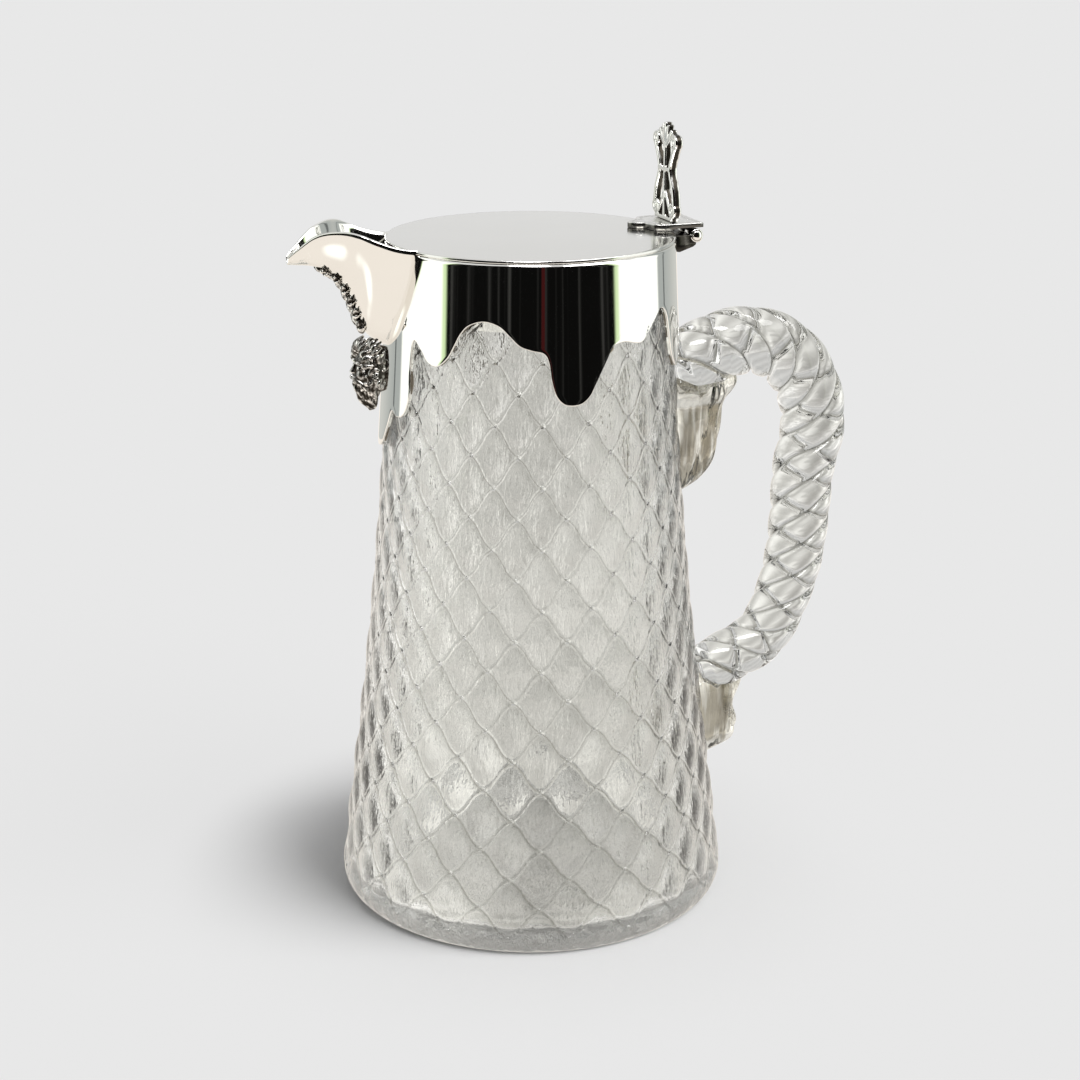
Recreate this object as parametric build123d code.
from build123d import *
from math import cos, radians, sin, sqrt
import os

# Claret jug: moulded glass body with a rope-twist glass handle, and a silver mount
# with collar, spout, hinged flat lid and pierced thumbpiece.
# Millimetres. The origin is the centre of the foot on the table, +Z is up,
# +X points to the handle and the hinge, and -X to the spout.

# ---- driving dimensions -------------------------------------------------------

# glass body: the outside runs from the heel to the mount's top as one Bezier curve, with
# the heel's pull given (in, up) from the heel and the neck's pull (out, down) from the top
HEEL_R = 67.0
HEEL_Z = 6.0
HEEL_INSET = 3.5
FOOT_RING_W = 9.0
FOOT_RECESS = 2.5
HEEL_PULL = (4.4, 44.0)
NECK_PULL = (5.0, 122.0)
NECK_R = 46.2
MOUNT_TOP_Z = 226.0
GLASS_RIM_DROP = 14.0
FOOT_WALL = 7.0
NECK_WALL = 4.5
FLOOR_T = 8.0
FLOOR_CORNER_R = 9.0

# silver mount over the neck, set on a bed of plaster
BED_T = 0.5
SILVER_T = 0.8
BAND_DEPTH = 18.0
SEAT_GAP = 0.1
SOLDER_GAP = 0.05
RUN_GAP = 0.3

# lower edge of the mount: (angle from the handle in degrees, drop from the top) along each drip,
# each run goes from the crown of one arch to the crown of the next
DRIP_RUNS = (
    ((-210.0, 28.0), (-205.0, 36.0), (-201.5, 51.0), (-197.5, 62.5), (-191.0, 67.0),
     (-183.0, 65.0), (-177.0, 58.0), (-173.0, 52.4), (-168.5, 53.4), (-164.0, 52.0),
     (-160.4, 46.0), (-160.9, 36.0), (-158.5, 27.1)),
    ((-158.5, 27.1), (-154.1, 29.5), (-150.6, 32.8), (-145.9, 33.6), (-141.2, 30.6),
     (-138.2, 26.3), (-135.6, 22.4), (-132.2, 19.5), (-126.5, 18.0)),
    ((-126.5, 18.0), (-120.8, 19.2), (-116.9, 22.1), (-113.0, 25.2), (-108.5, 26.6),
     (-104.2, 27.6), (-102.3, 30.8), (-101.4, 36.1), (-99.8, 40.8), (-97.1, 43.5),
     (-93.3, 44.3), (-89.2, 43.3), (-85.9, 40.3), (-84.1, 35.5), (-79.8, 30.0),
     (-77.0, 26.7), (-72.0, 25.8)),
    ((-72.0, 25.8), (-67.0, 26.7), (-63.4, 27.0), (-60.6, 25.6), (-58.6, 22.2),
     (-55.6, 19.6), (-49.5, 18.0)),
    ((-49.5, 18.0), (-45.2, 20.6), (-43.2, 26.0), (-41.0, 34.0), (-36.0, 39.0),
     (-31.0, 37.0), (-27.0, 30.0), (-20.0, 24.5), (-10.0, 23.0)),
    ((-10.0, 23.0), (0.0, 25.0), (10.0, 23.0)),
    ((10.0, 23.0), (17.5, 27.0), (22.0, 37.0), (29.0, 44.5), (36.0, 39.0),
     (40.0, 27.0), (48.0, 19.0)),
    ((48.0, 19.0), (55.0, 23.0), (59.5, 32.0), (66.0, 37.0), (72.5, 32.0),
     (77.0, 23.0), (84.0, 18.5)),
    ((84.0, 18.5), (91.0, 23.0), (95.0, 35.0), (99.0, 47.0), (105.0, 51.5),
     (111.0, 47.0), (114.5, 35.0), (118.0, 24.0), (124.0, 20.0)),
    ((124.0, 20.0), (129.0, 24.0), (132.5, 33.0), (138.0, 37.5), (143.5, 34.0),
     (150.0, 28.0)),
)

# liner that closes the mount over the rim of the glass
LINER_T = 1.0
LINER_DEPTH = 8.0

# spout: (reach beyond the collar, half width, rim above the mount's top, keel below it)
SPOUT_STATIONS = (
    (-7.5, 17.4, 1.0, 34.5),
    (-1.5, 18.4, 1.5, 32.8),
    (4.0, 18.8, 2.8, 30.8),
    (9.5, 18.5, 4.9, 26.0),
    (13.8, 16.5, 6.6, 15.4),
    (17.5, 13.0, 7.2, 9.1),
    (22.0, 8.8, 6.7, 5.9),
    (26.0, 5.8, 5.0, 4.5),
    (30.5, 3.2, 1.2, 4.0),
    (33.5, 1.4, -1.6, 3.7),
)
SPOUT_T = 1.0
THROAT_HALF_W = 12.0
THROAT_SILL = 11.0

# cast ornament soldered under the spout: the mask's head stands on the collar's wall
MASK_OUT = 4.7
MASK_DROP = 39.0
HEAD_R = 9.0
NOSE_R = 1.2
EYE_R = 1.4
BEARD_L = 12.5
BEARD_TIP_R = 2.4
LEAF_R = 2.8
LEAF_ANGLES = (-100, -65, -33, 0, 33, 65, 100)
VINE_HALF_W = 2.4
VINE_T = 2.2
VINE_START = 9.0
VINE_END = 22.5

# hinge, behind the collar
HINGE_BEHIND = 7.3
HINGE_DROP = 0.7
HINGE_W = 19.5
LID_KNUCKLE_W = 8.0
KNUCKLE_GAP = 0.25
PIN_R = 1.15
PIN_CLEARANCE = 0.05
PIN_HEAD_R = 1.6
PIN_HEAD_T = 0.6
KNUCKLE_R = 2.3
BRACKET_DROP = 10.0

# lid, as wide as the mount's top
LID_EDGE_T = 1.2
LID_DOME = 0.7
BEZEL_T = 1.4
BEZEL_DEPTH = 3.5
LEAF_LENGTH = 23.0
LEAF_TAIL = 2.2
LEAF_T = 1.6

# thumbpiece: (half width, height above the leaf) up one side of the lyre outline
THUMB_BEFORE_PIN = 7.0
THUMB_T = 3.2
THUMB_H = 32.4
THUMB_SIDE = ((7.0, 0.0), (10.2, 3.5), (8.0, 9.0), (4.8, 16.0), (7.2, 21.5), (10.2, 26.0),
              (7.5, 30.6))
# its pierced holes: (side, height above the leaf, half width, half height)
THUMB_HOLES = ((4.4, 25.2, 1.7, 3.6), (-4.4, 25.2, 1.7, 3.6), (0, 20.5, 1.1, 5.0),
               (3.9, 5.6, 1.6, 2.6), (-3.9, 5.6, 1.6, 2.6))

# handle: corners of the rod's centre line, (distance out from the body's wall, drop from
# the mount's top) for its upper part and (distance out, height) for its lower part
HANDLE_TOP_ROUTE = ((-2.4, 50.8), (28.7, 36.5), (58.4, 52.5))
HANDLE_FOOT_ROUTE = ((37.5, 75.8), (-3.5, 64.8))
HANDLE_BENDS = (26.4, 29.6, 35.1)
ROD_TOP_R = 11.7
ROD_FOOT_R = 9.4

# flattened tails of glass that hold the rod to the body: outer edge from top to bottom,
# as (distance out from the body's wall, drop from the mount's top or height)
UPPER_TAIL_EDGE = ((27.6, 51.0), (27.5, 56.0), (23.6, 64.0), (18.3, 74.4), (13.6, 85.5),
                   (0.5, 93.5))
LOWER_TAIL_EDGE = ((18.7, 66.0), (18.2, 61.0), (15.6, 54.0), (15.9, 46.5), (11.5, 40.0),
                   (0.4, 35.0))
UPPER_TAIL_HALF_W = 9.6
LOWER_TAIL_HALF_W = 8.4

# ---- derived values -----------------------------------------------------------

FOOT_R = HEEL_R - HEEL_INSET
GLASS_RIM_Z = MOUNT_TOP_Z - GLASS_RIM_DROP
BAND_Z = MOUNT_TOP_Z - BAND_DEPTH
MOUNT_T = BED_T + SILVER_T
MOUNT_R = NECK_R + MOUNT_T
THROAT_SILL_Z = MOUNT_TOP_Z - THROAT_SILL
MASK_X = MOUNT_R + MASK_OUT
MASK_Z = MOUNT_TOP_Z - MASK_DROP
LID_R = MOUNT_R
LID_Z = MOUNT_TOP_Z + SEAT_GAP
LID_TOP_Z = LID_Z + LID_EDGE_T + LID_DOME
HINGE_X = LID_R + HINGE_BEHIND
HINGE_Z = MOUNT_TOP_Z - HINGE_DROP
LEAF_END_X = HINGE_X + LEAF_TAIL
LEAF_FRONT_X = LEAF_END_X - LEAF_LENGTH
THUMB_X = HINGE_X - THUMB_BEFORE_PIN
FAR = 400.0
UPRIGHT = (Align.CENTER, Align.CENTER, Align.MIN)


# ---- helpers ------------------------------------------------------------------


def about_axis(face):
    """A full turn of a face in the XZ plane about the axis of the jug."""
    return revolve(face, Axis.Z, 360)


def outside_curve(offset):
    """The body's outside, moved out by offset, from heel height to the mount's top."""
    return Bezier(
        (HEEL_R + offset, 0, HEEL_Z),
        (HEEL_R - HEEL_PULL[0] + offset, 0, HEEL_Z + HEEL_PULL[1]),
        (NECK_R + NECK_PULL[0] + offset, 0, MOUNT_TOP_Z - NECK_PULL[1]),
        (NECK_R + offset, 0, MOUNT_TOP_Z),
    )


def inside_curve():
    """The body's inside, which thins from the foot's wall to the neck's."""
    third = (FOOT_WALL - NECK_WALL) / 3
    return Bezier(
        (HEEL_R - FOOT_WALL, 0, HEEL_Z),
        (HEEL_R - HEEL_PULL[0] - FOOT_WALL + third, 0, HEEL_Z + HEEL_PULL[1]),
        (NECK_R + NECK_PULL[0] - NECK_WALL - third, 0, MOUNT_TOP_Z - NECK_PULL[1]),
        (NECK_R - NECK_WALL, 0, MOUNT_TOP_Z),
    )


def to_axis(curve):
    """A solid turned from the region between a profile curve and the axis."""
    low, high = curve @ 0, curve @ 1
    edges = [
        curve,
        Line(high, (0, 0, high.Z)),
        Line((0, 0, high.Z), (0, 0, low.Z)),
        Line((0, 0, low.Z), low),
    ]
    return about_axis(make_face(edges))


def disc(radius, low, high):
    """A solid disc on the jug's axis between two heights."""
    return Pos(0, 0, low) * Cylinder(radius, high - low, align=UPRIGHT)


def below(z):
    """Everything under a height, near the jug."""
    return disc(FAR, -FAR, z)


def above(z):
    """Everything over a height, near the jug."""
    return disc(FAR, z, FAR)


def slab(x0, x1, half_width, z0, z1):
    """A block that is symmetrical about the plane of the jug."""
    return Pos((x0 + x1) / 2, 0, (z0 + z1) / 2) * Box(x1 - x0, 2 * half_width, z1 - z0)


def rod_y(radius, width, x, z):
    """A cylinder that lies across the jug, centred on its plane."""
    return Pos(x, 0, z) * Rot(90, 0, 0) * Cylinder(radius, width)


def side_plate(points, half_width):
    """A plate cut to a side outline: a spline through the points, closed by lines to x = 0."""
    low, high = points[0], points[-1]
    outline = Spline([(x, 0, z) for x, z in points])
    edges = [
        outline,
        Line((high[0], 0, high[1]), (0, 0, high[1])),
        Line((0, 0, high[1]), (0, 0, low[1])),
        Line((0, 0, low[1]), (low[0], 0, low[1])),
    ]
    return extrude(make_face(edges), half_width, dir=(0, 1, 0), both=True)


def wall_radius(z):
    """The body's outside radius at a height."""
    curve = outside_curve(0)
    low, high = 0.0, 1.0
    for _ in range(40):
        middle = (low + high) / 2
        if (curve @ middle).Z < z:
            low = middle
        else:
            high = middle
    return (curve @ low).X


def from_wall(points, drops):
    """Points in the jug's plane, from distances out of the wall and drops or heights."""
    heights = [MOUNT_TOP_Z - z if drops else z for _, z in points]
    return [(wall_radius(z) + out, z) for (out, _), z in zip(points, heights)]


def envelope(offset):
    """The body's whole outside, grown by offset, as a solid to trim seated pieces."""
    grown = to_axis(outside_curve(offset))
    return grown + disc(HEEL_R + offset, 0, HEEL_Z)


def drip_prism(run):
    """The region above one run of drips, pushed out radially through the mount."""
    middle = (run[0][0] + run[-1][0]) / 2
    edge = [(0, MOUNT_R * sin(radians(angle - middle)), MOUNT_TOP_Z - drop) for angle, drop in run]
    overrun = 0.4
    left = (0, edge[0][1] - overrun, edge[0][2])
    right = (0, edge[-1][1] + overrun, edge[-1][2])
    top = BAND_Z + 2
    outline = [
        Line(left, edge[0]),
        Spline(edge, tangents=[(0, 1, 0), (0, 1, 0)]),
        Line(edge[-1], right),
        Line(right, (0, right[1], top)),
        Line((0, right[1], top), (0, left[1], top)),
        Line((0, left[1], top), left),
    ]
    prism = extrude(make_face(outline), HEEL_R, dir=(1, 0, 0))
    return Rot(0, 0, middle) * Pos(NECK_R / 2, 0, 0) * prism


def dripping_shell(inner, outer, top):
    """A sleeve that follows the neck between two offsets, with the dripping lower edge."""
    sleeve = to_axis(outside_curve(outer)) - to_axis(outside_curve(inner)) - above(top)
    lowest = MOUNT_TOP_Z - max(drop for run in DRIP_RUNS for _, drop in run) - 1
    sleeve -= below(lowest)
    shell = sleeve - below(BAND_Z)
    for run in DRIP_RUNS:
        shell += sleeve & drip_prism(run)
    return shell


def spout_loft(inset, lift, reach):
    """The spout's form through its stations, moved in by inset and raised at the rim by lift."""
    sections = []
    for out, half_w, rim_up, keel_down in SPOUT_STATIONS:
        if out > reach:
            continue
        x = MOUNT_R + out
        w, low, high = half_w - inset, MOUNT_TOP_Z - keel_down + inset, MOUNT_TOP_Z + rim_up
        h = high - low
        points = [(w, high), (0.80 * w, high - 0.36 * h), (0.48 * w, high - 0.70 * h), (0, low)]
        points += [(-y, z) for y, z in reversed(points[:-1])]
        side = Spline([(-x, y, z) for y, z in points])
        edges = [
            side,
            Line((-x, -w, high), (-x, -w, high + lift)),
            Line((-x, -w, high + lift), (-x, w, high + lift)),
            Line((-x, w, high + lift), (-x, w, high)),
        ] if lift else [side, Line((-x, -w, high), (-x, w, high))]
        sections.append(make_face(edges))
    return loft(sections)


def save(name, shape):
    """Write one piece of the jug to its own file."""
    export_step(shape, "parts/" + name + ".step")


# ---- pieces -------------------------------------------------------------------


def glass_body():
    foot_in = FOOT_R - FOOT_RING_W
    heel = ThreePointArc(
        (FOOT_R, 0, 0),
        (HEEL_R - (HEEL_R - FOOT_R) * (1 - sqrt(0.5)), 0, HEEL_Z * (1 - sqrt(0.5))),
        (HEEL_R, 0, HEEL_Z),
    )
    foot = about_axis(make_face([
        Line((0, 0, FOOT_RECESS), (foot_in - FOOT_RECESS, 0, FOOT_RECESS)),
        Line((foot_in - FOOT_RECESS, 0, FOOT_RECESS), (foot_in, 0, 0)),
        Line((foot_in, 0, 0), (FOOT_R, 0, 0)),
        heel,
        Line((HEEL_R, 0, HEEL_Z), (0, 0, HEEL_Z)),
        Line((0, 0, HEEL_Z), (0, 0, FOOT_RECESS)),
    ]))
    floor_z = FOOT_RECESS + FLOOR_T
    cavity = to_axis(inside_curve()) - below(floor_z)
    cavity = fillet(cavity.edges().group_by(Axis.Z)[0], FLOOR_CORNER_R)
    body = foot + to_axis(outside_curve(0)) - cavity
    return body - above(GLASS_RIM_Z)


def plaster_bed():
    return dripping_shell(SOLDER_GAP, BED_T, GLASS_RIM_Z)


def collar_band():
    band = dripping_shell(BED_T + SOLDER_GAP, MOUNT_T, MOUNT_TOP_Z)
    return band - slab(-FAR, 0, THROAT_HALF_W, THROAT_SILL_Z, FAR)


def mouth_liner():
    bore = to_axis(inside_curve())
    ledge = to_axis(outside_curve(BED_T)) - below(GLASS_RIM_Z + SOLDER_GAP)
    ledge -= above(GLASS_RIM_Z + SOLDER_GAP + LINER_T)
    lip_out = NECK_R - NECK_WALL - SOLDER_GAP
    lip = disc(lip_out, GLASS_RIM_Z - LINER_DEPTH, GLASS_RIM_Z + LINER_T / 2)
    solid = ledge + (lip & bore)
    return solid - disc(lip_out - LINER_T, 0, FAR)


def spout():
    outside = spout_loft(0, 0, SPOUT_STATIONS[-1][0])
    channel = spout_loft(SPOUT_T, 6.0, SPOUT_STATIONS[-2][0])
    lid_room = disc(LID_R + RUN_GAP, MOUNT_TOP_Z - RUN_GAP, FAR)
    return outside - channel - envelope(MOUNT_T + SOLDER_GAP) - lid_room


def mask_ball(radius, forward, side, z):
    """One round boss of the mask, placed by its distance from the jug axis."""
    return Pos(-forward, side, z) * Sphere(radius)


def spout_mask():
    mask = mask_ball(HEAD_R, MASK_X, 0, MASK_Z)
    beard_z = MASK_Z - HEAD_R / 4 - BEARD_L
    mask += Pos(-MASK_X, 0, beard_z) * Cone(BEARD_TIP_R, HEAD_R * 0.9, BEARD_L, align=UPRIGHT)
    mask += mask_ball(NOSE_R, MASK_X + HEAD_R, 0, MASK_Z - NOSE_R)
    for side in (-1, 1):
        mask += mask_ball(EYE_R, MASK_X + 0.82 * HEAD_R, side * 0.36 * HEAD_R, MASK_Z + EYE_R / 2)
    for angle in LEAF_ANGLES:
        turn = radians(angle)
        mask += mask_ball(LEAF_R, MASK_X + LEAF_R / 2, HEAD_R * sin(turn), MASK_Z + HEAD_R * cos(turn))
    mask -= envelope(MOUNT_T + SOLDER_GAP)
    return mask - spout_loft(0, 0, SPOUT_STATIONS[-1][0])


def vine_drop():
    keel = [
        (-MOUNT_R - out, MOUNT_TOP_Z - down)
        for out, _, _, down in SPOUT_STATIONS
        if VINE_START < out < VINE_END
    ]
    inner = [(x + VINE_T, z + VINE_T) for x, z in keel]
    outer = [(x - VINE_T * 0.8, z - VINE_T * 0.6) for x, z in keel]
    edges = [
        Spline([(x, 0, z) for x, z in inner]),
        Line((inner[-1][0], 0, inner[-1][1]), (outer[-1][0], 0, outer[-1][1])),
        Spline([(x, 0, z) for x, z in reversed(outer)]),
        Line((outer[0][0], 0, outer[0][1]), (inner[0][0], 0, inner[0][1])),
    ]
    strip = extrude(make_face(edges), VINE_HALF_W, dir=(0, 1, 0), both=True)
    strip -= spout_loft(0, 6.0, SPOUT_STATIONS[-1][0])
    return strip - spout_mask() - envelope(MOUNT_T + SOLDER_GAP)


def hinge_bracket():
    web = make_face(Polyline(
        (NECK_R, 0, HINGE_Z - BRACKET_DROP),
        (HINGE_X - 1.0, 0, HINGE_Z - KNUCKLE_R),
        (HINGE_X, 0, HINGE_Z),
        (HINGE_X - 1.0, 0, HINGE_Z + 0.4),
        (NECK_R, 0, HINGE_Z + 0.4),
        close=True,
    ))
    web = extrude(web, HINGE_W / 2, dir=(0, 1, 0), both=True)
    return web - collar_knuckle_room() - lid_knuckle_room() - envelope(MOUNT_T + SOLDER_GAP)


def collar_knuckle_room():
    return rod_y(KNUCKLE_R + SOLDER_GAP, HINGE_W + 1, HINGE_X, HINGE_Z)


def lid_knuckle_room():
    room = LID_KNUCKLE_W + 2 * KNUCKLE_GAP
    return rod_y(KNUCKLE_R + RUN_GAP, room, HINGE_X, HINGE_Z)


def collar_knuckles():
    tube = rod_y(KNUCKLE_R, HINGE_W, HINGE_X, HINGE_Z)
    tube -= rod_y(PIN_R + PIN_CLEARANCE, HINGE_W + 2, HINGE_X, HINGE_Z)
    return tube - lid_knuckle_room()


def lid_knuckle():
    tube = rod_y(KNUCKLE_R, LID_KNUCKLE_W, HINGE_X, HINGE_Z)
    web_top = LID_TOP_Z - SOLDER_GAP
    tube += slab(HINGE_X - KNUCKLE_R + 0.3, HINGE_X + KNUCKLE_R - 0.3, LID_KNUCKLE_W / 2, HINGE_Z, web_top)
    return tube - rod_y(PIN_R + PIN_CLEARANCE, HINGE_W, HINGE_X, HINGE_Z)


def hinge_pin():
    pin = rod_y(PIN_R, HINGE_W + 2 * SEAT_GAP, HINGE_X, HINGE_Z)
    for side in (-1, 1):
        head = rod_y(PIN_HEAD_R, PIN_HEAD_T, HINGE_X, HINGE_Z)
        pin += Pos(0, side * (HINGE_W / 2 + SEAT_GAP + PIN_HEAD_T / 2), 0) * head
    return pin


def lid_plate():
    edge_z = LID_Z + LID_EDGE_T
    dome_r = (LID_R**2 + LID_DOME**2) / (2 * LID_DOME)
    midway_drop = dome_r - sqrt(dome_r**2 - (LID_R / 2) ** 2)
    crown = ThreePointArc((LID_R, 0, edge_z), (LID_R / 2, 0, LID_TOP_Z - midway_drop), (0, 0, LID_TOP_Z))
    return about_axis(make_face([
        crown,
        Line((0, 0, LID_TOP_Z), (0, 0, LID_Z)),
        Line((0, 0, LID_Z), (LID_R, 0, LID_Z)),
        Line((LID_R, 0, LID_Z), (LID_R, 0, edge_z)),
    ]))


def lid_bezel():
    outer = NECK_R + BED_T - RUN_GAP
    low, high = LID_Z - BEZEL_DEPTH, LID_Z - SOLDER_GAP
    ring = disc(outer, low, high) - disc(outer - BEZEL_T, low - 1, high + 1)
    return ring - slab(-FAR, 0, THROAT_HALF_W, 0, FAR)


def lid_leaf():
    half = HINGE_W / 2
    nose = [(LEAF_FRONT_X, 0), (LEAF_FRONT_X + 1.8, 2.6), (LEAF_FRONT_X + 4.6, 4.0),
            (LEAF_FRONT_X + 6.2, 8.2), (LEAF_FRONT_X + 9.5, half)]
    nose = [(x, -y) for x, y in reversed(nose[1:])] + nose
    edges = [
        Spline([(x, y, 0) for x, y in nose]),
        Line((nose[-1][0], nose[-1][1], 0), (LEAF_END_X, half, 0)),
        Line((LEAF_END_X, half, 0), (LEAF_END_X, -half, 0)),
        Line((LEAF_END_X, -half, 0), (nose[0][0], nose[0][1], 0)),
    ]
    blank = extrude(make_face(edges), LID_DOME + LEAF_T, dir=(0, 0, 1))
    leaf = Pos(0, 0, LID_TOP_Z - LID_DOME) * blank
    beyond_lid = below(LID_TOP_Z) - disc(LID_R, -FAR, LID_TOP_Z)
    return leaf - lid_cover() - beyond_lid


def lid_cover():
    """The lid, raised by the solder's thickness, to trim what stands on it."""
    return Pos(0, 0, SOLDER_GAP) * lid_plate()


def thumbpiece():
    base_z = LID_TOP_Z + LEAF_T + SOLDER_GAP
    side = [(y, base_z + h) for y, h in THUMB_SIDE]
    side.append((0, base_z + THUMB_H))
    right = Spline([(0, y, z) for y, z in side])
    left = Spline([(0, -y, z) for y, z in side])
    foot = Line((0, -side[0][0], base_z), (0, side[0][0], base_z))
    blank = extrude(make_face([right, left, foot]), THUMB_T / 2, dir=(1, 0, 0), both=True)
    plate = Pos(THUMB_X, 0, 0) * blank
    for y, h, half_w, half_h in THUMB_HOLES:
        hole = extrude(Plane.YZ * Ellipse(half_w, half_h), THUMB_T, both=True)
        plate -= Pos(THUMB_X, y, base_z + h) * hole
    return plate


def twisted_rod():
    route = from_wall(HANDLE_TOP_ROUTE, True) + from_wall(HANDLE_FOOT_ROUTE, False)
    path = FilletPolyline([(x, 0, z) for x, z in route], radius=list(HANDLE_BENDS))
    start = Plane(origin=path @ 0, z_dir=path % 0) * Circle(ROD_TOP_R)
    end = Plane(origin=path @ 1, z_dir=path % 1) * Circle(ROD_FOOT_R)
    return sweep([start, end], path=path, multisection=True)


def handle_tail(edge, half_width, rod):
    tail = side_plate(edge, half_width)
    return tail - envelope(SOLDER_GAP) - rod


def main():
    os.makedirs("parts", exist_ok=True)
    rod = twisted_rod()
    save("glass_body", glass_body())
    save("handle_rod", rod - envelope(SOLDER_GAP))
    save("handle_upper_tail", handle_tail(from_wall(UPPER_TAIL_EDGE, True), UPPER_TAIL_HALF_W, rod))
    save("handle_lower_tail", handle_tail(from_wall(LOWER_TAIL_EDGE, False), LOWER_TAIL_HALF_W, rod))
    save("plaster_bed", plaster_bed())
    save("collar_band", collar_band())
    save("mouth_liner", mouth_liner())
    save("spout", spout())
    save("spout_mask", spout_mask())
    save("vine_drop", vine_drop())
    save("hinge_bracket", hinge_bracket())
    save("collar_knuckles", collar_knuckles())
    save("hinge_pin", hinge_pin())
    save("lid_plate", lid_plate())
    save("lid_bezel", lid_bezel())
    save("lid_leaf", lid_leaf())
    save("lid_knuckle", lid_knuckle())
    save("thumbpiece", thumbpiece())


main()
